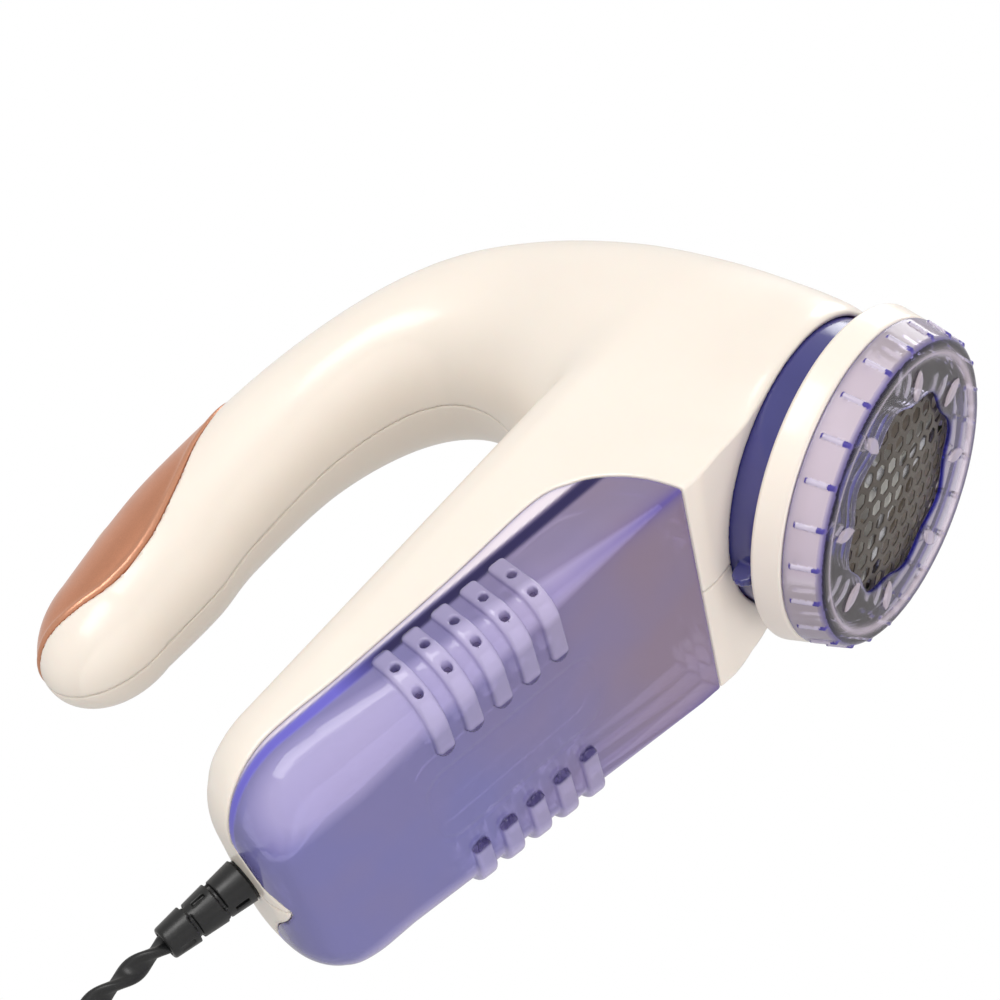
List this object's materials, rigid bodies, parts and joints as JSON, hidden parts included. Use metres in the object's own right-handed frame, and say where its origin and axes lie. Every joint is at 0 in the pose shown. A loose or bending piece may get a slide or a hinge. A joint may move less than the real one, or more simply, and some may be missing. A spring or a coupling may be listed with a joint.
{
  "type": "fabric shaver",
  "caption": "Mains fabric shaver: iron-like handle, round cutting head with a lobed clear guard over a pierced foil, and a clear lint bin with grip ribs.",
  "frame": {"origin": "centre of the clear guard's rim, on the plane that glides on the fabric", "axes": "+Z from the cutting head up through the motor, +X to the toe, away from the cable; Y=0 is the seam between the housing halves"},
  "size_m": [0.2867, 0.0768, 0.1586],
  "materials": {
    "cream_plastic": "glossy moulded",
    "cream_inner": "moulded",
    "copper_trim": "satin metallic",
    "switch_knob": "satin",
    "violet_clear": "glossy, see-through",
    "guard_clear": "glossy, see-through",
    "indigo_plastic": "glossy",
    "foil_steel": "fine brushed",
    "steel": "bright",
    "white_plastic": "satin moulded",
    "black_plastic": "fine grained",
    "soft_black": "matt",
    "seal_rubber": "matt",
    "magnet": "dull",
    "copper_winding": "enamelled",
    "bronze": "sintered",
    "brass": "bright",
    "carbon": "matt",
    "circuit_green": "lacquered",
    "capacitor_sleeve": "shrunk film",
    "wire_red": "satin"
  },
  "bodies": {
    "main": {"right_housing": "cream_plastic", "left_housing": "cream_plastic", "handle_trim": "copper_trim", "switch_body": "black_plastic", "housing_screws": "steel", "bin_inlet_seal": "seal_rubber", "fan_chamber": "cream_inner", "motor_can": "steel", "motor_magnets": "magnet", "carbon_brushes": "carbon", "motor_end_bell": "black_plastic", "lower_bush": "bronze", "upper_bush": "bronze", "motor_screws": "steel", "circuit_board": "circuit_green", "bridge_rectifier": "black_plastic", "capacitor": "capacitor_sleeve", "wiring_harness": "wire_red", "cord_clamp": "cream_inner", "clamp_screws": "steel", "cable_boot": "soft_black", "power_cable": "soft_black", "plug_body": "soft_black", "plug_pins": "brass"},
    "switch": {"power_switch": "switch_knob"},
    "bin": {"lint_bin": "violet_clear"},
    "cutter_ring": {"foil_ring": "cream_plastic", "cutting_foil": "foil_steel"},
    "guard": {"guard_cap": "guard_clear"},
    "collar": {"lock_collar": "indigo_plastic"},
    "rotor": {"blade_hub": "white_plastic", "cutter_blades": "steel", "blade_spring": "steel", "suction_fan": "white_plastic", "motor_shaft": "steel", "armature": "copper_winding", "commutator": "brass"}
  },
  "joints": [
    {"name": "rotor_spin", "type": "hinge", "parent": "main", "child": "rotor", "pos_m": [0, 0, 0.05], "axis": [0, 0, 1], "continuous": true},
    {"name": "switch_slide", "type": "slide", "parent": "main", "child": "switch", "axis": [-0.9954, 0, -0.0958], "range_m": [0, 0.005], "stiffness_N_per_m": 200},
    {"name": "bin_release", "type": "slide", "parent": "main", "child": "bin", "axis": [-0.2198, 0, -0.9755], "range_m": [0, 0.045], "stiffness_N_per_m": 400},
    {"name": "ring_turn", "type": "hinge", "parent": "main", "child": "cutter_ring", "pos_m": [0, 0, 0.01], "axis": [0, 0, 1], "range_deg": [0, 25]},
    {"name": "guard_pull", "type": "slide", "parent": "cutter_ring", "child": "guard", "axis": [0, 0, -1], "range_m": [0, 0.012], "stiffness_N_per_m": 400},
    {"name": "collar_turn", "type": "hinge", "parent": "main", "child": "collar", "pos_m": [0, 0, 0.02], "axis": [0, 0, 1], "range_deg": [-12, 12]}
  ]
}
